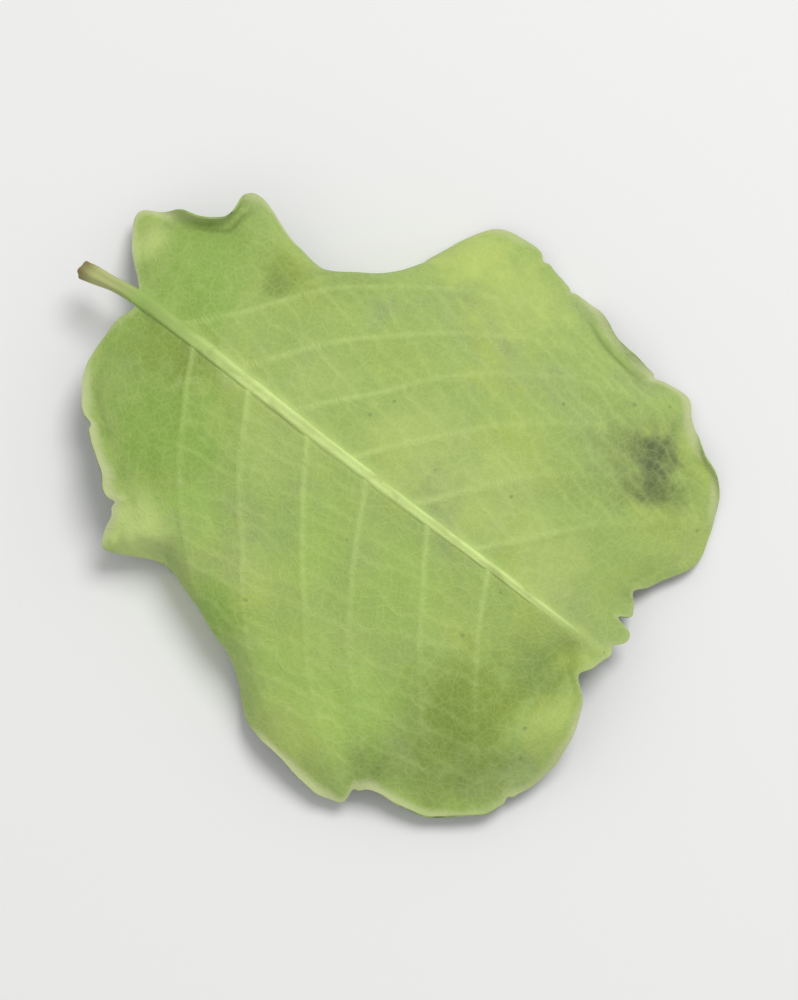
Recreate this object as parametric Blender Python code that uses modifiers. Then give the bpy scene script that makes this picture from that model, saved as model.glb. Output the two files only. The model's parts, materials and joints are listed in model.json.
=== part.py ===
"""One dried moringa leaflet, lying with its pale underside up, as a Blender model.

Metres, +Z up. The midrib runs along Y with the stalk at +Y and the tip at -Y. The blade arches over the
plane z = 0 and stands on three small flat spots of its curled margin. Blade, midrib, side veins and stalk
grew as one piece, so they are one solid.

The leaf is drawn flat first, in millimetres from the middle of the blade. A place on the flat leaf is a
bearing from the tip (towards +X is positive) and a distance. leaf_point then says where drying has moved
that place.
"""

import math

import bmesh
import bpy
import numpy as np

MM = 0.001

# Driving sizes of the leaf, in millimetres.
BLADE_LENGTH = 24.0
BLADE_THICKNESS = 0.6
STALK_LENGTH = 2.8
HALF_LENGTH = BLADE_LENGTH / 2

# The margin, from the tip round by the +X side and back to the tip. Each row holds the bearing in degrees,
# the reach from the middle of the blade in mm along its surface, and how far the margin has curled down
# there, in degrees.
MARGIN = (
    (0, 12.3, 10),
    (8, 12.7, 14),
    (17, 12.8, 34),
    (22, 13.2, 26),
    (27, 14.3, 16),
    (34, 14.8, 16),
    (42, 15.0, 18),
    (48, 14.4, 20),
    (57, 14.5, 24),
    (61, 13.6, 28),
    (70, 12.9, 34),
    (80, 12.9, 27),
    (88, 12.7, 20),
    (96, 12.9, 12),
    (103, 12.9, 22),
    (111, 11.9, 60),
    (120, 10.9, 88),
    (130, 10.6, 98),
    (138, 10.7, 84),
    (143, 10.9, 58),
    (146, 11.5, 32),
    (148, 12.5, 12),
    (158, 12.9, 6),
    (164, 14.2, 14),
    (168, 15.3, 16),
    (173, 14.35, 15),
    (177, 12.8, 11),
    (180, 12.0, 8),
    (186, 12.1, 14),
    (194, 12.5, 24),
    (204, 12.0, 24),
    (216, 10.65, 14),
    (226, 10.45, 8),
    (232, 10.8, 10),
    (235, 11.0, 14),
    (240, 10.15, 72),
    (244, 10.2, 92),
    (250, 10.2, 104),
    (258, 10.1, 110),
    (268, 10.3, 102),
    (277, 10.6, 78),
    (284, 11.0, 42),
    (294, 11.9, 24),
    (303, 12.9, 16),
    (307, 13.15, 12),
    (311, 12.55, 12),
    (316, 13.15, 16),
    (325, 14.25, 20),
    (334, 14.45, 29),
    (345, 14.3, 32),
    (354, 13.0, 20),
)
BEARING, REACH, CURL = range(3)

# How drying bent the blade.
DOME_DEG = 15.0  # slope at half a blade length from the middle
CURL_WIDTH = 3.4  # the band beside the margin in which it curls
# Where a lobe's margin turns out again, to lie level on the ground: middle, half width and turn, in degrees.
FLARES = ((43.0, 14.0, 38.0), (327.0, 14.0, 36.0))
FLARE_WIDTH = 1.9
FOLD_SLOPE = 0.10  # how steeply each half falls away from the midrib
FOLD_ROUNDING = 1.2
# Soft swells and dents: flat x and y, radius and height, in mm.
SWELLS = (
    (5.5, -5.0, 4.2, 0.45),
    (-5.0, -8.0, 3.6, 0.40),
    (-1.5, -9.8, 2.2, -0.45),
    (7.5, 2.5, 3.2, 0.35),
    (-6.0, 6.8, 3.0, 0.30),
    (2.6, 8.0, 2.6, -0.25),
    (9.5, -6.5, 2.4, -0.30),
)
MARGIN_WAVES = ((5, 0.30, 40.0), (9, 0.14, 150.0))  # waves round the leaf, height in mm, phase in degrees

# The blade's mesh.
RAY_SPACING = 3.2  # about how many degrees apart its rays are; each row of MARGIN has one
RINGS = 15
RING_EASE = 1.3  # over 1 sets the rings closer near the margin
PROFILE_STEPS = 24
NUDGE = 0.05  # the step over which a slope is measured
WELD = 0.001

# Midrib and stalk, in mm.
MIDRIB_BOW = -0.22  # how far its middle stands towards +X
MIDRIB_TIP_X = 0.94
MIDRIB_START_Y = 11.6
MIDRIB_END_Y = -11.2
MIDRIB_POINTS = 26
MIDRIB_RADII = (0.42, 0.20)
MIDRIB_LIFT = 0.24  # its centre line above the middle of the blade's thickness
STALK_POINTS = 7
STALK_RADIUS = 0.36
STALK_END_RADIUS = 0.46
STALK_SWELLING = 0.55  # the share of the stalk that swells towards its end
STALK_TURN_X = -0.5
STALK_DROP = 0.7

# Side veins, in mm.
VEIN_PAIRS = 6
VEIN_FIRST_Y = 9.6
VEIN_SPACING = 3.0
VEIN_STAGGER = 1.0
VEIN_HEADINGS = (58.0, 22.0)  # degrees between vein and midrib, at the midrib and at the margin
VEIN_TURN = 1.5  # over 1 keeps most of the turn for the outer part
VEIN_STEP = 0.8
VEIN_END = 0.86  # it ends at this share of the way to the margin, or sooner where the margin curls under
VEIN_END_CURL = 25.0
VEIN_RADII = (0.26, 0.19)
VEIN_LIFT = 0.25
TUBE_SIDES = 2  # bevel resolution: 2 gives 8 sides

# The three places of the margin that the leaf stands on, as bearings, and how deep each is worn flat.
FEET = (38.0, 130.0, 258.0)
FOOT_WIDTH = 16.0
FOOT_DEPTH = 0.3  # share of the way in from the margin
FOOT_SAMPLES = (33, 16)
PLANE_ROUNDS = 4
FOOT_FLAT = 0.18

LEAF_COLOUR = (0.34, 0.47, 0.16, 1.0)
LEAF_ROUGHNESS = 0.75
SHARP_EDGE = 50.0


def ease(x):
    """0 up to x = 0, 1 from x = 1, smooth between."""
    x = np.clip(x, 0.0, 1.0)
    return x * x * (3 - 2 * x)


def margin_value(bearing, column):
    """A column of MARGIN as a smooth closed curve, read at these bearings in degrees."""
    knots = np.array([row[BEARING] for row in MARGIN], float)
    values = np.array([row[column] for row in MARGIN], float)
    knots = np.concatenate([knots[-2:] - 360, knots, knots[:2] + 360])
    values = np.concatenate([values[-2:], values, values[:2]])
    slopes = np.gradient(values, knots)
    bearing = np.mod(bearing, 360.0)
    i = np.searchsorted(knots, bearing, side="right") - 1
    span = knots[i + 1] - knots[i]
    t = (bearing - knots[i]) / span
    start = values[i] * (1 + 2 * t) * (1 - t) ** 2 + slopes[i] * span * t * (1 - t) ** 2
    end = values[i + 1] * t * t * (3 - 2 * t) + slopes[i + 1] * span * t * t * (t - 1)
    return start + end


def curl_share(distance, reach):
    """How much of its curl the margin has taken on at this distance from the middle."""
    return ease((distance - reach + CURL_WIDTH) / CURL_WIDTH)


def flare_turn(bearing):
    """How far the margin turns out again at these bearings, in degrees."""
    turn = np.zeros_like(bearing)
    for middle, half_width, most in FLARES:
        away = (bearing - middle + 180) % 360 - 180
        turn += most * np.exp(-((away / half_width) ** 2))
    return turn


def leaf_point(flat_x, flat_y):
    """Where drying has moved these places of the flat leaf: an array of x, y, z in mm."""
    flat_x = np.atleast_1d(np.asarray(flat_x, float))
    flat_y = np.atleast_1d(np.asarray(flat_y, float))
    distance = np.hypot(flat_x, flat_y)
    angle = np.arctan2(flat_x, -flat_y)
    bearing = np.degrees(angle)
    reach = margin_value(bearing, REACH)[:, None]
    curl = np.radians(margin_value(bearing, CURL))[:, None]
    flare = np.radians(flare_turn(bearing))[:, None]
    # The section from the middle out to the place is followed in short steps, each at its own slope.
    along = distance[:, None] * (np.arange(PROFILE_STEPS) + 0.5) / PROFILE_STEPS
    slope = np.radians(DOME_DEG) * along / HALF_LENGTH + curl * curl_share(along, reach)
    slope -= flare * ease((along - reach + FLARE_WIDTH) / FLARE_WIDTH)
    out = distance * np.cos(slope).mean(axis=1)
    height = -distance * np.sin(slope).mean(axis=1)
    share = distance / reach[:, 0]
    for count, wave, phase in MARGIN_WAVES:
        height += wave * share**3 * np.cos(count * angle + math.radians(phase))
    height -= FOLD_SLOPE * (np.hypot(flat_x, FOLD_ROUNDING) - FOLD_ROUNDING)
    for x, y, radius, rise in SWELLS:
        height += rise * np.exp(-((flat_x - x) ** 2 + (flat_y - y) ** 2) / radius**2)
    return np.stack([out * np.sin(angle), -out * np.cos(angle), height], axis=1)


def leaf_normal(flat_x, flat_y):
    """The blade's upward unit normals at these places."""
    across = leaf_point(flat_x + NUDGE, flat_y) - leaf_point(flat_x - NUDGE, flat_y)
    along = leaf_point(flat_x, flat_y + NUDGE) - leaf_point(flat_x, flat_y - NUDGE)
    normal = np.cross(across, along)
    return normal / np.linalg.norm(normal, axis=1)[:, None]


def standing_plane():
    """(slope in x, slope in y, height) of the plane through the blade's lowest point at each foot. It is found
    in a few rounds, because another point can become the lowest as the leaf tilts."""
    feet = []
    for foot in FEET:
        bearing = np.linspace(foot - FOOT_WIDTH, foot + FOOT_WIDTH, FOOT_SAMPLES[0])
        share = np.linspace(1.0 - FOOT_DEPTH, 1.0, FOOT_SAMPLES[1])
        bearing, share = (grid.ravel() for grid in np.meshgrid(bearing, share))
        distance = share * margin_value(bearing, REACH)
        flat_x = distance * np.sin(np.radians(bearing))
        flat_y = -distance * np.cos(np.radians(bearing))
        feet.append(leaf_point(flat_x, flat_y) - leaf_normal(flat_x, flat_y) * BLADE_THICKNESS / 2)
    plane = np.zeros(3)
    for _ in range(PLANE_ROUNDS):
        lows = np.array([under[(under[:, 2] - under[:, :2] @ plane[:2]).argmin()] for under in feet])
        plane = np.linalg.solve(np.column_stack([lows[:, :2], np.ones(len(FEET))]), lows[:, 2])
    return plane


def midrib_x(flat_y):
    """The midrib's flat x at this flat y: nearly straight, and towards +X at the tip."""
    t = (HALF_LENGTH - flat_y) / BLADE_LENGTH
    return 4 * MIDRIB_BOW * t * (1 - t) + MIDRIB_TIP_X * t * t


def new_object(name, data, collection):
    obj = bpy.data.objects.new(name, data)
    collection.objects.link(obj)
    return obj


def as_mesh(obj):
    """The object with its modifiers or its bevel made a plain closed mesh."""
    bpy.context.view_layer.update()
    graph = bpy.context.evaluated_depsgraph_get()
    mesh = bpy.data.meshes.new_from_object(obj.evaluated_get(graph))
    bm = bmesh.new()
    bm.from_mesh(mesh)
    bmesh.ops.remove_doubles(bm, verts=bm.verts, dist=WELD)
    bmesh.ops.recalc_face_normals(bm, faces=bm.faces)
    bm.to_mesh(mesh)
    bm.free()
    name = obj.name
    solid = new_object(name + "_solid", mesh, obj.users_collection[0])
    bpy.data.objects.remove(obj)
    return solid


def blade_rays():
    """The bearings of the blade's rays, once round."""
    rows = [row[BEARING] for row in MARGIN] + [360]
    rays = []
    for start, end in zip(rows, rows[1:]):
        count = max(1, round((end - start) / RAY_SPACING))
        rays.extend(np.linspace(start, end, count, endpoint=False))
    return np.array([*rays, 360.0])


def make_blade(collection):
    """A grid wound into a disc, its rim set on the margin, then curled and thickened."""
    rays = blade_rays()
    reaches = margin_value(rays, REACH)
    bm = bmesh.new()
    bmesh.ops.create_grid(bm, x_segments=RINGS, y_segments=len(rays) - 1, size=1.0)
    for vertex in bm.verts:
        ring = 1 - (1 - (vertex.co.x + 1) / 2) ** RING_EASE
        ray = round((vertex.co.y + 1) / 2 * (len(rays) - 1))
        angle = math.radians(rays[ray])
        distance = ring * reaches[ray]
        vertex.co = (distance * math.sin(angle), -distance * math.cos(angle), 0.0)
    bmesh.ops.remove_doubles(bm, verts=bm.verts, dist=WELD)
    bmesh.ops.dissolve_degenerate(bm, edges=bm.edges, dist=WELD)
    flat = np.array([vertex.co for vertex in bm.verts])
    for vertex, place in zip(bm.verts, leaf_point(flat[:, 0], flat[:, 1])):
        vertex.co = place
    bmesh.ops.recalc_face_normals(bm, faces=bm.faces)
    if sum(face.normal.z for face in bm.faces) < 0:
        bmesh.ops.reverse_faces(bm, faces=bm.faces)
    mesh = bpy.data.meshes.new("blade")
    bm.to_mesh(mesh)
    bm.free()
    blade = new_object("blade", mesh, collection)
    thickness = blade.modifiers.new("thickness", "SOLIDIFY")
    thickness.thickness = BLADE_THICKNESS
    thickness.offset = 0.0
    return as_mesh(blade)


def make_tube(name, path, radii, collection):
    """A round tube along these points, with its own radius at each."""
    curve = bpy.data.curves.new(name, "CURVE")
    curve.dimensions = "3D"
    curve.bevel_depth = 1.0
    curve.bevel_resolution = TUBE_SIDES
    curve.use_fill_caps = True
    spline = curve.splines.new("POLY")
    spline.points.add(len(path) - 1)
    for point, place, radius in zip(spline.points, path, radii):
        point.co = (*place, 1.0)
        point.radius = radius
    return as_mesh(new_object(name, curve, collection))


def make_midrib(collection):
    """The midrib, running out past the blade's base as the stalk, which swells where it left the twig."""
    flat_y = np.linspace(MIDRIB_START_Y, MIDRIB_END_Y, MIDRIB_POINTS)
    flat_x = midrib_x(flat_y)
    rib = leaf_point(flat_x, flat_y) + leaf_normal(flat_x, flat_y) * MIDRIB_LIFT
    rib_radii = np.linspace(*MIDRIB_RADII, MIDRIB_POINTS)
    t = np.linspace(1.0, 0.0, STALK_POINTS, endpoint=False)[:, None]
    way_out = np.array([STALK_TURN_X, STALK_LENGTH, 0.0])
    stalk = rib[0] + way_out * t + np.array([0.0, 0.0, -STALK_DROP]) * t * t
    swelling = ease((t[:, 0] - 1 + STALK_SWELLING) / STALK_SWELLING)
    stalk_radii = STALK_RADIUS + (STALK_END_RADIUS - STALK_RADIUS) * swelling
    path = np.concatenate([stalk, rib])
    return make_tube("midrib", path, [*stalk_radii, *rib_radii], collection)


def at_vein_end(place):
    """Whether a side vein has come as far as it goes at this flat place."""
    bearing = np.array([math.degrees(math.atan2(place[0], -place[1]))])
    distance = np.hypot(*place)
    reach = margin_value(bearing, REACH)
    bent = margin_value(bearing, CURL) * curl_share(distance, reach)
    return bool(distance > VEIN_END * reach[0] or bent[0] > VEIN_END_CURL)


def vein_path(start_y, side):
    """Flat points of a side vein: it leaves the midrib steeply and turns towards the tip near the margin."""
    first, last = VEIN_HEADINGS
    place = np.array([midrib_x(start_y), start_y])
    path = []
    while len(path) < 2 or not at_vein_end(place):
        path.append(place)
        out = min(1.0, abs(place[0] - path[0][0]) / HALF_LENGTH)
        heading = math.radians(first + (last - first) * out**VEIN_TURN)
        place = place + VEIN_STEP * np.array([side * math.sin(heading), -math.cos(heading)])
    return np.array(path)


def make_side_vein(number, side, collection):
    start_y = VEIN_FIRST_Y - VEIN_SPACING * number - (VEIN_STAGGER if side < 0 else 0.0)
    flat = vein_path(start_y, side)
    path = leaf_point(flat[:, 0], flat[:, 1])
    path += leaf_normal(flat[:, 0], flat[:, 1]) * VEIN_LIFT
    return make_tube(f"vein_{number}_{side}", path, np.linspace(*VEIN_RADII, len(path)), collection)


def fuse(blade, veins):
    """Joins the midrib, stalk and side veins to the blade in one body."""
    union = blade.modifiers.new("veins", "BOOLEAN")
    union.operation = "UNION"
    union.operand_type = "COLLECTION"
    union.collection = veins
    union.solver = "EXACT"
    leaf = as_mesh(blade)
    for tube in list(veins.objects):
        bpy.data.objects.remove(tube)
    bpy.data.collections.remove(veins)
    return leaf


def set_down(leaf):
    """Stands the leaf on its three feet, wears them flat, and sets the origin under the middle of its box."""
    points = np.array([vertex.co for vertex in leaf.data.vertices])
    slope_x, slope_y, height = standing_plane()
    points[:, 2] -= slope_x * points[:, 0] + slope_y * points[:, 1] + height + FOOT_FLAT
    points[:, 2] = np.maximum(points[:, 2], 0.0)
    middle = (points.min(axis=0) + points.max(axis=0)) / 2
    points[:, :2] -= middle[:2]
    for vertex, place in zip(leaf.data.vertices, points * MM):
        vertex.co = place


def leaf_material():
    material = bpy.data.materials.new("dried_leaf")
    material.use_nodes = True
    shader = material.node_tree.nodes["Principled BSDF"]
    shader.inputs["Base Color"].default_value = LEAF_COLOUR
    shader.inputs["Roughness"].default_value = LEAF_ROUGHNESS
    return material


def main():
    for obj in list(bpy.data.objects):
        bpy.data.objects.remove(obj)
    collection = bpy.data.collections.new("moringa_leaf")
    bpy.context.scene.collection.children.link(collection)
    veins = bpy.data.collections.new("veins")
    bpy.context.scene.collection.children.link(veins)
    blade = make_blade(collection)
    make_midrib(veins)
    for number in range(VEIN_PAIRS):
        for side in (-1, 1):
            make_side_vein(number, side, veins)
    leaf = fuse(blade, veins)
    leaf.name = "leaf"
    set_down(leaf)
    leaf.data.materials.clear()
    leaf.data.materials.append(leaf_material())
    leaf.data.shade_smooth()
    leaf.data.set_sharp_from_angle(angle=math.radians(SHARP_EDGE))


main()
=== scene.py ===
"""The look of a dried moringa leaflet that lies with its pale underside up.

The leaf is drawn flat first, in millimetres from the middle of the blade, with the tip at -Y and the stalk
at +Y. leaf_point says where drying has moved a place of the flat leaf, as the solid model does. The fine
blade adds relief to that form: veins, the net between them, puckers and a ragged margin.
"""

import json
import math

import bpy
import numpy as np
from bpy.props import FloatProperty, FloatVectorProperty, IntProperty, PointerProperty
from bpy.types import Operator, Panel, PropertyGroup
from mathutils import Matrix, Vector, kdtree, noise


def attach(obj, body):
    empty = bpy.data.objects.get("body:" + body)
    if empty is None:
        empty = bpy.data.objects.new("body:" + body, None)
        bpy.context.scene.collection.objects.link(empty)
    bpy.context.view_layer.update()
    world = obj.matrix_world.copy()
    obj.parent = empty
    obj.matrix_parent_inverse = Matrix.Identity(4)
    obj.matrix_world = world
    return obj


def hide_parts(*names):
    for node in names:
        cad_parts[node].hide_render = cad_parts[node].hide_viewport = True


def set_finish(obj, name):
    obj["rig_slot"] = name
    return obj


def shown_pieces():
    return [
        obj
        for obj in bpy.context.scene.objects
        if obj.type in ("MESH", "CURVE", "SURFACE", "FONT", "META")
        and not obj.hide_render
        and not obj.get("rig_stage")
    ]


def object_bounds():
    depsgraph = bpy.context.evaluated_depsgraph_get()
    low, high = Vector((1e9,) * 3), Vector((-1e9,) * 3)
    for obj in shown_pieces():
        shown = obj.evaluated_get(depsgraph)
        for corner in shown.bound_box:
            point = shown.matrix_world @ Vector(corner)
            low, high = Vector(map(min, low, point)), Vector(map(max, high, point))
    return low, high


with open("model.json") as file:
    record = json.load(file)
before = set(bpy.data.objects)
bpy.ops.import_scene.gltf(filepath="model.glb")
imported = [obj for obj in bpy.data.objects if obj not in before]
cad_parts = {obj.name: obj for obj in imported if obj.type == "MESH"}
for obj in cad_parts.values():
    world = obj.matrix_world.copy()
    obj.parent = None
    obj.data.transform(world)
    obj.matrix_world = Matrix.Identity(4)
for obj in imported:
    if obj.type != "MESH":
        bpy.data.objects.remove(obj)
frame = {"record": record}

bl_info = {
    "name": "Moringa leaf",
    "version": (1, 0, 0),
    "blender": (4, 5, 0),
    "location": "3D View > Sidebar > Moringa leaf",
    "description": "Models a dried moringa leaflet with its veins, curled margin and stalk",
    "category": "Add Mesh",
}

CAD_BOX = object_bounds()
NODE = "leaf"
BODY = "root"
SLOT = frame["record"]["materials"][0]["slot"]
PICTURE = (798, 1000)  # pixels, across and up
MM = 0.001

# The margin, from the tip round by the +X side and back to the tip. Each row holds the bearing in degrees,
# the reach from the middle of the blade in mm along its surface, and how far the margin has curled down
# there, in degrees.
MARGIN = (
    (0, 12.3, 10), (8, 12.7, 14), (17, 12.8, 34), (22, 13.2, 26),
    (27, 14.3, 16), (34, 14.8, 16), (42, 15.0, 18), (48, 14.4, 20),
    (57, 14.5, 24), (61, 13.6, 28), (70, 12.9, 34), (80, 12.9, 27),
    (88, 12.7, 20), (96, 12.9, 12), (103, 12.9, 22), (111, 11.9, 60),
    (120, 10.9, 88), (130, 10.6, 98), (138, 10.7, 84), (143, 10.9, 58),
    (146, 11.5, 32), (148, 12.5, 12), (158, 12.9, 6), (164, 14.2, 14),
    (168, 15.3, 16), (173, 14.35, 15), (177, 12.8, 11), (180, 12.0, 8),
    (186, 12.1, 14), (194, 12.5, 24), (204, 12.0, 24), (216, 10.65, 14),
    (226, 10.45, 8), (232, 10.8, 10), (235, 11.0, 14), (240, 10.15, 72),
    (244, 10.2, 92), (250, 10.2, 104), (258, 10.1, 110), (268, 10.3, 102),
    (277, 10.6, 78), (284, 11.0, 42), (294, 11.9, 24), (303, 12.9, 16),
    (307, 13.15, 12), (311, 12.55, 12), (316, 13.15, 16), (325, 14.25, 20),
    (334, 14.45, 29), (345, 14.3, 32), (354, 13.0, 20),
)
BEARING, REACH, CURL = range(3)

# How drying bent the blade, in mm and degrees.
BLADE_LENGTH = 24.0
HALF_LENGTH = BLADE_LENGTH / 2
DOME_DEG = 15.0
CURL_WIDTH = 3.4
FLARES = ((43.0, 14.0, 38.0), (327.0, 14.0, 36.0))
FLARE_WIDTH = 1.9
FOLD_SLOPE = 0.10
FOLD_ROUNDING = 1.2
SWELLS = (
    (5.5, -5.0, 4.2, 0.45), (-5.0, -8.0, 3.6, 0.4), (-1.5, -9.8, 2.2, -0.45), (7.5, 2.5, 3.2, 0.35),
    (-6.0, 6.8, 3.0, 0.3), (2.6, 8.0, 2.6, -0.25), (9.5, -6.5, 2.4, -0.3),
)
MARGIN_WAVES = ((5, 0.3, 40.0), (9, 0.14, 150.0))
PROFILE_STEPS = 120
NUDGE = 0.04  # how far to each side of a place its slope is read
DISC_CROWDING = 0.25  # how much closer together the blade's mesh gets towards the margin

# The three places of the margin that the leaf lies on, as bearings.
FEET = (41.0, 113.0, 250.0)
FOOT_WINDOW = 14.0
PLANE_ROUNDS = 4

# Stretches of the margin whose very edge dried upwards: the middle and half width of the stretch in
# degrees, how far the edge turns in degrees, and how wide the turned strip is in mm.
TURNED_EDGES = (
    (158.0, 6.0, 125.0, 0.8), (70.5, 8.0, 82.0, 0.85), (43.0, 7.0, 60.0, 0.5), (214.0, 19.0, 45.0, 0.55),
    (296.0, 8.0, 50.0, 0.5), (324.0, 11.0, 55.0, 0.5), (184.0, 5.0, 40.0, 0.4),
)

# The lobe beside the tip is bent up along a fold: the ends of the fold on the flat leaf, how deep it is
# and how steeply the lobe rises beyond it.
FOLD_ENDS = ((0.9, -11.0), (-4.6, -11.1))
FOLD_DEPTH = 0.34
FOLD_WIDTH = 0.55
FOLD_RISE = 0.30
FOLD_FADES = (1.2, 2.2)  # mm over which it sets in and dies away

# Painted shade in creases along the margin, the dark line inside a turned edge: middle and half width in
# degrees, and how far in they run, in mm.
CREASE_SHADES = ((69.0, 8.0, 0.85), (157.0, 6.0, 0.8))
CREASE_SHADE_WIDTH = 0.16

# Stretches of the margin that dried paler: middle and half width in degrees, and how pale.
PALE_EDGES = (
    (214.0, 22.0, 0.9), (180.0, 9.0, 0.4), (170.0, 6.0, 0.6), (158.0, 8.0, 1.0),
    (146.0, 5.0, 0.5), (99.0, 8.0, 0.6), (71.0, 12.0, 1.0), (49.0, 13.0, 1.2),
    (12.0, 9.0, 0.4), (345.0, 14.0, 0.7), (318.0, 13.0, 0.7), (296.0, 10.0, 0.8),
)
PALE_EVERYWHERE = 0.15
PALE_WIDTH = (0.14, 0.26)  # mm, and how much more it is where the margin has paled most
PALE_WIDTH_LIMITS = (0.08, 0.6)
PALE_FULL = 0.3  # share of that width which is as pale as the margin itself

# Patches of other tones on the underside, partly the leaf's own colour and partly painted light and shade:
# x, y and radius in mm, strength, and the tone.
PATCHES = (
    (8.8, -8.4, 1.3, 0.8, "bruise"), (7.9, -9.2, 1.3, 0.8, "bruise"),
    (8.1, -8.3, 2.7, 0.38, "bruise"), (7.7, -10.3, 1.8, 0.3, "shade"),
    # Yellowed tone, and painted highlight where the +X margin faces the key light.
    (10.8, 3.0, 2.6, 0.65, "yellow"), (10.2, 0.0, 2.8, 0.5, "yellow"),
    # These bright patches along the +X side of the midrib, with (2.7, -4.6) and (2.1, -8.2) below, are paler
    # tone and painted light where that half of the blade faces the key light.
    (2.4, -1.0, 2.6, 0.6, "bright"), (2.1, 3.8, 1.8, 0.35, "bright"),
    (-5.8, -4.1, 1.7, 0.25, "bright"), (2.7, -4.6, 2.8, 0.55, "bright"),
    (2.1, -8.2, 2.1, 0.7, "bright"), (-1.2, 3.2, 2.4, 0.25, "bright"),
    (2.2, 13.4, 1.1, 0.6, "pale"), (-7.3, 5.8, 2.1, 0.9, "pale"),
    (-9.2, -4.6, 2.4, 0.35, "yellow"), (-3.9, 6.8, 3.4, 0.85, "leafy"),
    (3.4, 11.0, 2.8, 0.65, "leafy"), (1.5, 9.6, 1.9, 0.5, "leafy"),
    (4.7, 7.9, 1.5, 0.6, "olive"), (-0.8, 10.2, 3.8, 0.6, "leafy"),
    # This row, (-0.5, 8.2) and (-0.8, 7.4) darken the -X side of the midrib near its base.
    (-1.1, 9.8, 2.1, 0.55, "olive"), (-0.6, 8.3, 1.4, 0.85, "olive"),
    (-0.5, 8.2, 1.0, 0.35, "shade"), (4.0, 7.8, 0.9, 0.45, "shade"),
    # (6.1, 5.9) is painted shade where the margin of the top bite curls down.
    (-0.8, 7.4, 0.9, 0.3, "olive"), (6.1, 5.9, 1.9, 0.3, "shade"),
    # Painted shade in the groove of the fold beside the tip.
    (-2.1, -11.6, 1.1, 0.6, "shade"), (-1.4, -10.3, 1.8, 0.55, "shade"),
    # The first of these is painted shade along the same fold.
    (-4.6, -9.4, 3.0, 0.9, "olive"), (-7.0, -10.6, 2.6, 0.35, "olive"),
    # Painted shade along the fold, and in the fold running in from the notch at (-8.5, -7.7).
    (-5.4, -9.3, 2.6, 0.2, "shade"), (-8.5, -7.7, 1.3, 0.8, "shade"),
    # (-8.0, 1.0) is greener tone and painted shade where the margin of the bite on the -X side curls down.
    (-8.0, 1.0, 2.0, 0.85, "leafy"), (-7.4, -5.8, 2.8, 0.5, "lime"),
    (-7.6, -2.6, 2.2, 0.35, "lime"), (-3.4, 0.0, 2.6, 0.4, "lime"),
    (-5.4, 3.9, 1.7, 0.45, "lime"), (-5.9, 1.0, 1.6, 0.3, "bright"),
    (-2.5, -4.2, 2.6, 0.3, "lime"), (5.4, -7.0, 2.2, 0.18, "shade"),
    (-2.6, -12.4, 1.7, 0.65, "yellow"),
)

# Small tears and nicks of the margin: bearing and half width in degrees, depth in mm.
NICKS = (
    (12.0, 1.1, 0.75), (18.5, 1.5, 0.6), (308.8, 1.0, 0.35), (92.0, 0.9, 0.28),
    (208.0, 1.0, 0.22), (61.0, 0.7, 0.24), (84.0, 0.6, 0.18), (335.0, 0.6, 0.16),
    (226.0, 0.8, 0.2), (357.5, 2.0, 0.6), (350.5, 3.6, -0.3), (6.5, 1.2, 0.25),
    (53.5, 3.0, 0.3), (145.5, 1.5, 0.5), (228.0, 4.0, 0.3), (238.0, 2.0, 0.3),
)
RAGGED_FROM = 0.86  # share of the way to the margin from which the mesh follows it
MARGIN_RING = 13.0  # radius of the circle on which the margin's bumps are read

# Smooth bumps, as rows of their height or strength, their size in mm, and the number of their pattern.
RAGGED_BUMPS = ((0.16, 1.9, 1), (0.09, 0.7, 2))
CRINKLE_BUMPS = ((1.0, 3.1, 3), (0.35, 1.3, 4))
RIPPLE_BUMPS = ((1.0, 1.5, 5),)
STALK_BUMPS = ((0.07, 0.7, 6),)
STREAK_BUMPS = ((1.0, 1.0, 8),)
PALE_BUMPS = ((0.45, 1.6, 11),)
PALE_WIDTH_BUMPS = ((0.16, 0.8, 12),)
PATTERN_STEP = 7.3
RIPPLE_WIDTH = 1.8
STREAK_HEADING = 42.0
STREAK_STRETCH = (4.2, 0.55)  # how long and how wide a wrinkle is
STREAK_SIDES = 9.0  # gives the two halves of the blade different wrinkles

# Midrib and side veins, in mm and degrees.
MIDRIB_BOW = -0.22
MIDRIB_TIP_X = 0.94
MIDRIB_START_Y = 11.6
MIDRIB_END_Y = -12.15
MIDRIB_FADE = 0.55  # how much lower it stands at the tip
MIDRIB_FLANKS = (0.5, 0.28)  # half width of its raised flanks, at the base and at the tip
MIDRIB_PALES = (0.4, 0.3)  # how pale the flanks are at the base, and the share over which they turn pale
VEIN_PAIRS = 6
VEIN_FIRST_Y = 9.6
VEIN_SPACING = 3.0
VEIN_STAGGER = 1.0
VEIN_HEADINGS = (58.0, 22.0)
VEIN_TURN = 1.5
VEIN_STEP = 0.25
VEIN_REACH = 0.95  # share of the way to the margin at which a side vein fades out
VEIN_WANDER = 7.0
VEIN_WANDER_SIZE = 2.2
VEIN_STRENGTH = (1.0, 0.15)  # at its start and its end
VEIN_WIDTH = 0.13
CROSS_SPACING = 1.15
CROSS_SHIFT = 0.35  # share of the spacing by which one is moved at most
CROSS_LAG = 0.55  # share of the spacing by which its far end lies behind
CROSS_POINTS = 7
CROSS_WANDER = 0.16
CROSS_STRENGTH = (1.0, 1.0)
CROSS_WIDTH = 0.085
TREE_STEP = 0.05  # how close together the points are from which a vein's distance is measured
PUCKER_WIDTH = 0.9  # how far from a vein the blade has sunk
LEVEL_EDGE = 0.8  # how far in from the margin veins and puckers die away
THIN_EDGE = 1.2  # how far in from the margin the blade gets thinner
SMOOTH_UP_TO = math.radians(50)

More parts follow.
